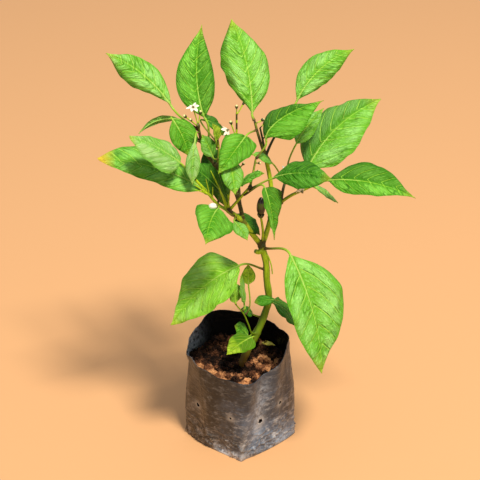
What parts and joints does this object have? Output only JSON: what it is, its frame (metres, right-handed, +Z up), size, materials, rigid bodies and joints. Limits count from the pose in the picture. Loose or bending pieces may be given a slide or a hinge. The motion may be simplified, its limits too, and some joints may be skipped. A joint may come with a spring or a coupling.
{
  "type": "potted chilli pepper plant",
  "caption": "Young chilli pepper plant in flower, with a small dark upright fruit, standing in soil in a black polythene nursery bag.",
  "frame": {"origin": "centre of the underside of the bag, on the ground that it stands on", "axes": "+Z up, +X to the plant's right as seen from its front, +Y away from its front"},
  "size_m": [0.28, 0.1386, 0.4067],
  "materials": {
    "bag_film": "satin",
    "soil": "rough",
    "stem": "satin",
    "leaf": "satin",
    "petal": "matte",
    "fruit": "gloss",
    "dry_leaf": "matte"
  },
  "bodies": {
    "root": {"grow_bag": "bag_film", "soil": "soil", "stem": "stem", "leaf_crown_far_left": "leaf", "leaf_crown_left": "leaf", "leaf_crown_top": "leaf", "leaf_crown_right": "leaf", "leaf_arched": "leaf", "leaf_broad_right": "leaf", "leaf_behind_right": "leaf", "leaf_far_right": "leaf", "leaf_mid_right": "leaf", "leaf_sliver_right": "leaf", "leaf_hanging_middle": "leaf", "leaf_small_middle": "leaf", "leaf_hanging_centre": "leaf", "leaf_tongue_centre": "leaf", "leaf_little_centre": "leaf", "leaf_hanging_left": "leaf", "leaf_pale_left": "leaf", "leaf_long_left": "leaf", "leaf_hook_left": "leaf", "leaf_inner_left": "leaf", "leaf_dark_back": "leaf", "leaf_young_back": "leaf", "leaf_inner_low": "leaf", "leaf_shaded_left": "leaf", "leaf_light_low": "leaf", "leaf_heart_left": "leaf", "leaf_under_fork": "leaf", "leaf_under_fork_back": "leaf", "leaf_low_left": "leaf", "leaf_low_right": "leaf", "leaf_round_low": "leaf", "leaf_low_back": "leaf", "leaf_bright_low": "leaf", "leaf_curled_low": "leaf", "leaf_shoot_dark": "leaf", "leaf_shoot_up": "leaf", "leaf_shoot_top": "leaf", "leaf_shoot_high": "leaf", "flower_left": "petal", "flower_middle": "petal", "flower_right": "petal", "flower_low_right": "petal", "flower_bud": "petal", "fruit": "fruit", "fallen_leaf": "dry_leaf"}
  },
  "joints": []
}
